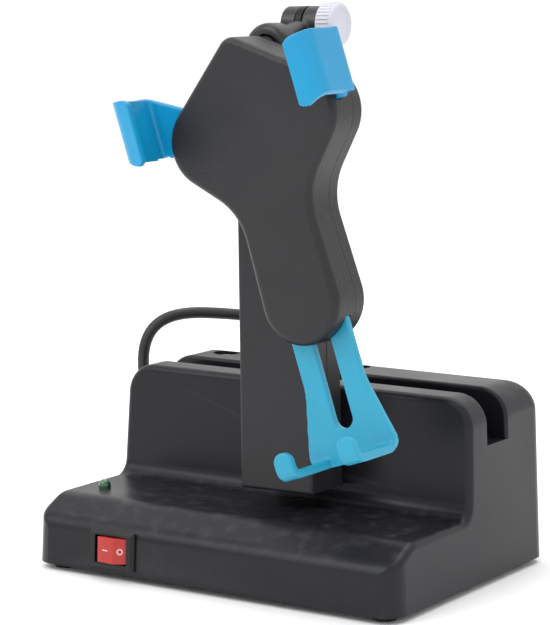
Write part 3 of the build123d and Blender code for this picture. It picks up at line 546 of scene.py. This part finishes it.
def easeEdges(node, width, s):
    mesh = mergedMesh(node, "_eased", flattenAngle)
    piece = bpy.data.objects.new(node + "_eased", mesh)
    scene.collection.objects.link(piece)
    bevel = piece.modifiers.new("ease", "BEVEL")
    bevel.width, bevel.segments = width, s["segments"]
    bevel.limit_method, bevel.angle_limit = "ANGLE", math.radians(s["limit"])
    bevel.use_clamp_overlap = True
    baked = bakedCopy(piece)
    for polygon in baked.polygons:
        polygon.use_smooth = polygon.area < s["flatArea"]
    shade = piece.modifiers.new("normals", "WEIGHTED_NORMAL")
    shade.keep_sharp = True
    standFor(piece, node)
    return piece


softFactor = 0.5


def softenPiece(node, s):
    piece = bpy.data.objects.new(node + "_soft", mergedMesh(node, "_soft", 0))
    scene.collection.objects.link(piece)
    dense = piece.modifiers.new("dense", "REMESH")
    dense.mode, dense.voxel_size = "VOXEL", s["voxel"]
    dense.use_smooth_shade = True
    smooth = piece.modifiers.new("soft", "SMOOTH")
    smooth.factor, smooth.iterations = softFactor, s["passes"]
    bakedCopy(piece)
    standFor(piece, node)
    return piece


easedNodes = {  # node: edge radius in metres
    "base_shell": 0.0005, "mast_front_shell": 0.0005, "mast_rear_shell": 0.0005,
    "cradle_front_shell": 0.0004, "cradle_rear_shell": 0.0004, "collar_nut": 0.0004,
    "switch_body": 0.0003, "rocker": 0.0004, "plug_body": 0.0005,
}
softNodes = {  # moulded pieces whose every edge is round
    "right_clip": {"voxel": 0.0004, "passes": 5},
    "left_clip": {"voxel": 0.0004, "passes": 5},
    "phone_foot": {"voxel": 0.00045, "passes": 4},
    "neck_arm": {"voxel": 0.0004, "passes": 4},
}
eased = {node: easeEdges(node, width, easeSettings) for node, width in easedNodes.items()}
eased.update({node: softenPiece(node, values) for node, values in softNodes.items()})
print("edges eased:", len(eased))


def endTree(tree, ins, outs, geometry):
    real = add(tree, "GeometryNodeRealizeInstances", 500)
    paint = add(tree, "GeometryNodeSetMaterial", 700)
    tree.links.new(geometry, real.inputs[0])
    tree.links.new(real.outputs[0], paint.inputs["Geometry"])
    tree.links.new(ins.outputs["Finish"], paint.inputs["Material"])
    tree.links.new(paint.outputs[0], outs.inputs[0])


geometryIn, countIn, materialIn = "NodeSocketGeometry", "NodeSocketInt", "NodeSocketMaterial"


def makeRibRing():
    tree, ins, outs = newGroup(
        "ribRing",
        [("Geometry", geometryIn, None), ("Ribs", countIn, 30), ("Ring radius", floatIn, 0.008),
         ("Rib radius", floatIn, 0.0004), ("Rib length", floatIn, 0.006), ("Finish", materialIn, None)],
        [("Geometry", geometryIn)], "GeometryNodeTree")
    ring = add(tree, "GeometryNodeMeshCircle", -300, 200)
    rib = add(tree, "GeometryNodeMeshCylinder", -300, -100)
    rib.inputs["Vertices"].default_value = 8
    copies = add(tree, "GeometryNodeInstanceOnPoints", 100)
    link = tree.links.new
    link(ins.outputs["Ribs"], ring.inputs["Vertices"])
    link(ins.outputs["Ring radius"], ring.inputs["Radius"])
    link(ins.outputs["Rib radius"], rib.inputs["Radius"])
    link(ins.outputs["Rib length"], rib.inputs["Depth"])
    link(ring.outputs[0], copies.inputs["Points"])
    link(rib.outputs["Mesh"], copies.inputs["Instance"])
    endTree(tree, ins, outs, copies.outputs[0])
    return tree


def makeRingRow():
    tree, ins, outs = newGroup(
        "ringRow",
        [("Geometry", geometryIn, None), ("Rings", countIn, 6), ("Step", floatIn, 0.003),
         ("Ring radius", floatIn, 0.005), ("Ring height", floatIn, 0.0012), ("Shrink", floatIn, 0.1),
         ("Finish", materialIn, None)],
        [("Geometry", geometryIn)], "GeometryNodeTree")
    row = add(tree, "GeometryNodeMeshLine", -300, 200)
    offset = add(tree, "ShaderNodeCombineXYZ", -500, 200)
    ring = add(tree, "GeometryNodeMeshCylinder", -300, -100)
    ring.inputs["Vertices"].default_value = 40
    index = add(tree, "GeometryNodeInputIndex", -700, -300)
    less = add(tree, "ShaderNodeMath", -500, -300, operation="MULTIPLY")
    size = add(tree, "ShaderNodeMath", -300, -300, operation="SUBTRACT")
    size.inputs[0].default_value = 1.0
    scale = add(tree, "ShaderNodeCombineXYZ", -100, -300)
    scale.inputs["Z"].default_value = 1.0
    copies = add(tree, "GeometryNodeInstanceOnPoints", 200)
    link = tree.links.new
    link(ins.outputs["Rings"], row.inputs["Count"])
    link(ins.outputs["Step"], offset.inputs["Z"])
    link(offset.outputs[0], row.inputs["Offset"])
    link(ins.outputs["Ring radius"], ring.inputs["Radius"])
    link(ins.outputs["Ring height"], ring.inputs["Depth"])
    link(index.outputs[0], less.inputs[0])
    link(ins.outputs["Shrink"], less.inputs[1])
    link(less.outputs[0], size.inputs[1])
    link(size.outputs[0], scale.inputs["X"])
    link(size.outputs[0], scale.inputs["Y"])
    link(row.outputs[0], copies.inputs["Points"])
    link(ring.outputs["Mesh"], copies.inputs["Instance"])
    link(scale.outputs[0], copies.inputs["Scale"])
    endTree(tree, ins, outs, copies.outputs[0])
    return tree


# dark crosses laid flush on the screw heads: painted shade in place of the cross recesses
def makePaintedShadeCrosses():
    tree, ins, outs = newGroup(
        "paintedShadeCrosses",
        [("Geometry", geometryIn, None), ("Slot length", floatIn, 0.0028), ("Slot width", floatIn, 0.0006),
         ("Slot depth", floatIn, 0.0006), ("Finish", materialIn, None)],
        [("Geometry", geometryIn)], "GeometryNodeTree")
    link = tree.links.new
    both = add(tree, "GeometryNodeJoinGeometry", 0, -100)
    for order in (("X", "Y"), ("Y", "X")):
        size = add(tree, "ShaderNodeCombineXYZ", -500, -100 if order[0] == "X" else -300)
        bar = add(tree, "GeometryNodeMeshCube", -300, -100 if order[0] == "X" else -300)
        link(ins.outputs["Slot length"], size.inputs[order[0]])
        link(ins.outputs["Slot width"], size.inputs[order[1]])
        link(ins.outputs["Slot depth"], size.inputs["Z"])
        link(size.outputs[0], bar.inputs["Size"])
        link(bar.outputs["Mesh"], both.inputs[0])
    copies = add(tree, "GeometryNodeInstanceOnPoints", 200)
    link(ins.outputs["Geometry"], copies.inputs["Points"])
    link(both.outputs[0], copies.inputs["Instance"])
    endTree(tree, ins, outs, copies.outputs[0])
    return tree


def bakeTree(name, tree, values, points=(), place=Matrix()):
    seed = bpy.data.meshes.new(name + "_points")
    seed.from_pydata(list(points), [], [])
    holder = bpy.data.objects.new(name + "_points", seed)
    scene.collection.objects.link(holder)
    modifier = holder.modifiers.new("make", "NODES")
    modifier.node_group = tree
    for item in tree.interface.items_tree:
        if item.item_type == "SOCKET" and item.in_out == "INPUT" and item.name in values:
            modifier[item.identifier] = values[item.name]
    made = bpy.data.meshes.new_from_object(holder.evaluated_get(bpy.context.evaluated_depsgraph_get()))
    made.name = name
    made.transform(place)
    bpy.data.objects.remove(holder)
    piece = bpy.data.objects.new(name, made)
    scene.collection.objects.link(piece)
    return piece


ribRing, ringRow, paintedShadeCrosses = makeRibRing(), makeRingRow(), makePaintedShadeCrosses()


knobSettings = {
    "ribs": 34,
    "ribRadius": 0.00042,
    "ribShort": 0.0022,  # less than the knob's thickness
    "ribShift": -0.0003,
    "ribSink": 0.00005,
    "core": 0.00075,  # how far the body lies inside the ribs' tips
    "lean": -1.33,  # degrees, as the mast
    "endGap": 0.0004,
    "backEdge": 0.0004,
    "frontRound": [(0.0, 0.0012), (0.0003, 0.0004), (0.0010, 0.0)],  # in from the side, back from the face
    "dishRim": 0.0024,
    "dishFloor": 0.0030,
    "dishDepth": 0.0005,
    "around": 72,
    "sharpAngle": 40,  # degrees
}


def makeKnob(s):
    low, high = corners("clamp_knob")
    radius = (high.z - low.z) / 2
    middle = (low + high) / 2
    tilt = Matrix.Rotation(math.radians(s["lean"]), 4, "Y")
    place = Matrix.Translation(middle) @ tilt @ Matrix.Rotation(math.radians(90), 4, "Y")
    thick = high.x - low.x - s["endGap"]
    side, face = radius - s["core"], thick / 2
    profile = [(0.0, -face), (side - s["backEdge"], -face), (side, -face + s["backEdge"])]
    profile += [(side - inward, face - back) for inward, back in s["frontRound"]]
    profile += [(radius - s["dishRim"], face), (radius - s["dishFloor"], face - s["dishDepth"]),
                (0.0, face - s["dishDepth"])]
    turned = bmesh.new()
    around = s["around"]
    rings = []
    for r, z in profile:
        if r == 0.0:
            rings.append([turned.verts.new((0, 0, z))])
        else:
            turns = [2 * math.pi * i / around for i in range(around)]
            rings.append([turned.verts.new((r * math.cos(t), r * math.sin(t), z)) for t in turns])
    for a, b in zip(rings, rings[1:]):
        for i in range(around):
            j = (i + 1) % around
            corner = [a[i % len(a)], a[j % len(a)], b[j % len(b)], b[i % len(b)]]
            turned.faces.new(list(dict.fromkeys(corner)))
    bmesh.ops.recalc_face_normals(turned, faces=turned.faces)
    mesh = bpy.data.meshes.new("knob_body")
    turned.to_mesh(mesh)
    turned.free()
    mesh.transform(place)
    for polygon in mesh.polygons:
        polygon.use_smooth = True
    mesh.set_sharp_from_angle(angle=math.radians(s["sharpAngle"]))
    body = bpy.data.objects.new("knob_body", mesh)
    scene.collection.objects.link(body)
    wearFinish(body, finish["knobWhite"])
    ribs = bakeTree("knob_ribs", ribRing, {
        "Ribs": s["ribs"], "Ring radius": side - s["ribSink"], "Rib radius": s["ribRadius"],
        "Rib length": thick - s["ribShort"], "Finish": finish["knobWhite"]},
        place=place @ Matrix.Translation((0, 0, s["ribShift"])))
    for piece in (body, ribs):
        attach(piece, "knob")
        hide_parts("clamp_knob")


makeKnob(knobSettings)


def looseParts(node):
    work = bmesh.new()
    work.from_mesh(nodes[node].data)
    bmesh.ops.remove_doubles(work, verts=work.verts, dist=mergeDistance)
    left = set(work.verts)
    boxes = []
    while left:
        front = [left.pop()]
        part = list(front)
        while front:
            for edge in front.pop().link_edges:
                for vert in edge.verts:
                    if vert in left:
                        left.remove(vert)
                        front.append(vert)
                        part.append(vert)
        low = Vector([min(v.co[k] for v in part) for k in range(3)])
        high = Vector([max(v.co[k] for v in part) for k in range(3)])
        boxes.append((low, high))
    work.free()
    return sorted(boxes, key=lambda box: tuple(round(c, 5) for c in box[0]))


screwSettings = {  # which way the heads face, the body they ride on, slot length
    "top_screws": ("up", "base", 0.0036), "base_screws": ("down", "base", 0.0034),
    "mast_screws": ("back", "mast", 0.0028), "cradle_screws": ("back", "cradle", 0.0026),
}
# the crosses sit flush with the head surface; their dark colour is painted shade for the recesses
recessShadeSettings = {"sink": 0.00026, "widthShare": 0.2, "depth": 0.00056}


def paintScrewRecessShade(settings, s):
    for node, (facing, body, length) in settings.items():
        points = []
        for low, high in looseParts(node):
            middle = (low + high) / 2
            if facing == "back":
                points.append((middle.x, middle.z, -(high.y - s["sink"])))
            else:
                level = high.z - s["sink"] if facing == "up" else low.z + s["sink"]
                points.append((middle.x, middle.y, level))
        place = Matrix.Rotation(math.radians(90), 4, "X") if facing == "back" else Matrix()
        piece = bakeTree(node + "_recess_shade", paintedShadeCrosses, {
            "Slot length": length, "Slot width": length * s["widthShare"], "Slot depth": s["depth"],
            "Finish": finish["darkSteelAndPaintedShade"]}, points, place)
        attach(piece, body)


paintScrewRecessShade(screwSettings, recessShadeSettings)

bootSettings = {
    "start": 0.0028,  # behind the base
    "rings": 7,
    "step": 0.0026,
    "radius": 0.0046,
    "height": 0.0013,
    "shrink": 0.052,
}


def makeBootRings(s):
    middle = centre("strain_relief")
    start = baseBox[1].y + s["start"]
    place = Matrix.Translation((middle.x, start, middle.z)) @ Matrix.Rotation(math.radians(-90), 4, "X")
    rings = bakeTree("boot_rings", ringRow, {
        "Rings": s["rings"], "Step": s["step"], "Ring radius": s["radius"], "Ring height": s["height"],
        "Shrink": s["shrink"], "Finish": finish["leadRubber"]}, place=place)
    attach(rings, "base")


makeBootRings(bootSettings)
print("repeats made")

markSettings = {
    "barLength": 0.0026,
    "width": 0.0004,
    "ringRadius": 0.0012,
    "ringSides": 40,
    "lift": 0.00004,
    "sink": 0.0002,
    "facing": -0.8,  # a slope's normal points further forward than this
}


def rockerSlopes(s):
    mesh = nodes["rocker"].data
    slopes = {}
    for polygon in mesh.polygons:
        normal = polygon.normal
        if normal.y > s["facing"]:
            continue
        key = tuple(round(c, 3) for c in normal)
        area, spot, direction = slopes.get(key, (0.0, Vector(), normal.copy()))
        slopes[key] = (area + polygon.area, spot + polygon.center * polygon.area, direction)
    largest = sorted(slopes.values(), key=lambda entry: -entry[0])[:2]
    found = [(spot / area, direction) for area, spot, direction in largest]
    return sorted(found, key=lambda entry: entry[0].x)


def makeMark(name, outline, holeOutline, spot, direction, s):
    across = Vector((0, 0, 1)).cross(direction).normalized() * -1
    upward = direction.cross(across).normalized() * -1
    if upward.z < 0:
        upward = -upward
    if across.x < 0:
        across = -across
    work = bmesh.new()
    lifted = []
    for level in (-s["sink"], s["lift"]):
        lifted.append([
            [work.verts.new(spot + across * x + upward * y + direction * level) for x, y in edge]
            for edge in (outline, holeOutline)])
    (lowOuter, lowInner), (highOuter, highInner) = lifted
    count = len(outline)
    for i in range(count):
        j = (i + 1) % count
        work.faces.new((lowOuter[i], lowOuter[j], highOuter[j], highOuter[i]))
        if holeOutline:
            work.faces.new((lowInner[j], lowInner[i], highInner[i], highInner[j]))
            work.faces.new((highOuter[i], highOuter[j], highInner[j], highInner[i]))
            work.faces.new((lowOuter[j], lowOuter[i], lowInner[i], lowInner[j]))
    if not holeOutline:
        work.faces.new(highOuter)
        work.faces.new(list(reversed(lowOuter)))
    bmesh.ops.recalc_face_normals(work, faces=work.faces)
    mesh = bpy.data.meshes.new(name)
    work.to_mesh(mesh)
    work.free()
    piece = bpy.data.objects.new(name, mesh)
    scene.collection.objects.link(piece)
    wearFinish(piece, finish["markWhite"])
    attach(piece, "rocker")


def makeRockerMarks(s):
    (leftSpot, leftOut), (rightSpot, rightOut) = rockerSlopes(s)
    x, y = s["barLength"] / 2, s["width"] / 2
    makeMark("mark_bar", [(-x, -y), (x, -y), (x, y), (-x, y)], [], leftSpot, leftOut, s)
    turns = [2 * math.pi * i / s["ringSides"] for i in range(s["ringSides"])]
    outer, inner = [[(radius * math.cos(t), radius * math.sin(t)) for t in turns]
                    for radius in (s["ringRadius"], s["ringRadius"] - s["width"])]
    makeMark("mark_ring", outer, inner, rightSpot, rightOut, s)


makeRockerMarks(markSettings)

lightSettings = {
    "world": 1.06,
    "aim": (0, 0, 0.1),
    "key": {"place": (-0.7, -1.3, 1.5), "size": 1.2, "power": 14.0},
    "fill": {"place": (1.6, -0.6, 0.9), "size": 1.4, "power": 1.0},
    "top": {"place": (0.0, 0.4, 1.8), "size": 1.6, "power": 12.0},
}


def makeLights(s):
    world = bpy.data.worlds.new("studio")
    scene.world = world
    world.use_nodes = True
    back = world.node_tree.nodes["Background"]
    back.inputs["Color"].default_value = (1, 1, 1, 1)
    back.inputs["Strength"].default_value = s["world"]
    for name in ("key", "fill", "top"):
        data = bpy.data.lights.new(name, "AREA")
        data.size, data.energy = s[name]["size"], s[name]["power"]
        lamp = bpy.data.objects.new(name, data)
        scene.collection.objects.link(lamp)
        lamp.location = s[name]["place"]
        aim = Vector(s["aim"]) - Vector(s[name]["place"])
        lamp.rotation_euler = aim.to_track_quat("-Z", "Y").to_euler()


floorSettings = {"reach": 6.0, "color": (0.97, 0.97, 0.97, 1), "rough": 0.9, "specular": 0.1}


def makeFloor(s):
    mesh = bpy.data.meshes.new("floor")
    reach = s["reach"]
    ends = [(-reach, -reach, 0), (reach, -reach, 0), (reach, reach, 0), (-reach, reach, 0)]
    mesh.from_pydata(ends, [], [(0, 1, 2, 3)])
    floor = bpy.data.objects.new("floor", mesh)
    scene.collection.objects.link(floor)
    material = bpy.data.materials.new("paleFloor")
    tree = nodeTree(material)
    shader = add(tree, "ShaderNodeBsdfPrincipled")
    shader.inputs["Base Color"].default_value = s["color"]
    shader.inputs["Roughness"].default_value = s["rough"]
    shader.inputs["Specular IOR Level"].default_value = s["specular"]
    out = add(tree, "ShaderNodeOutputMaterial", 300)
    tree.links.new(shader.outputs[0], out.inputs["Surface"])
    mesh.materials.append(material)


makeLights(lightSettings)
makeFloor(floorSettings)
scene.view_settings.view_transform = "Standard"
print("stage lit")
